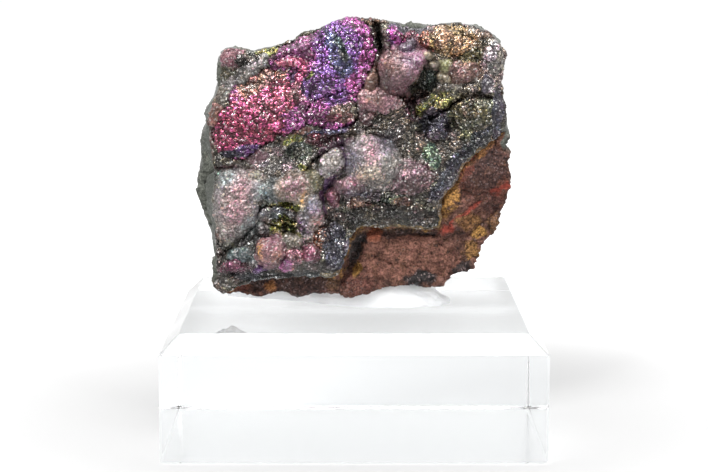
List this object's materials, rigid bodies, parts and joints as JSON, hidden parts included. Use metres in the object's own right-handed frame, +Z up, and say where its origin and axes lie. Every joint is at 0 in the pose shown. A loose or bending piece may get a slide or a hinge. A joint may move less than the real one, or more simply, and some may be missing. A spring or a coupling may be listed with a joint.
{
  "type": "goethite specimen on an acrylic block",
  "caption": "Iridescent goethite crust with rounded lumps on rusty ironstone, set upright with clear putty on a bevelled clear acrylic block.",
  "frame": {"origin": "middle of the acrylic block's underside, where it rests on the table", "axes": "+Z up, the block's bare front face and the iridescent crust face -Y, +X to the viewer's right"},
  "size_m": [0.06, 0.06, 0.0681],
  "materials": {
    "goethite": "satin",
    "putty": "satin",
    "acrylic": "polished"
  },
  "bodies": {
    "root": {"goethite_stone": "goethite", "mounting_putty": "putty", "acrylic_block": "acrylic"}
  },
  "joints": []
}
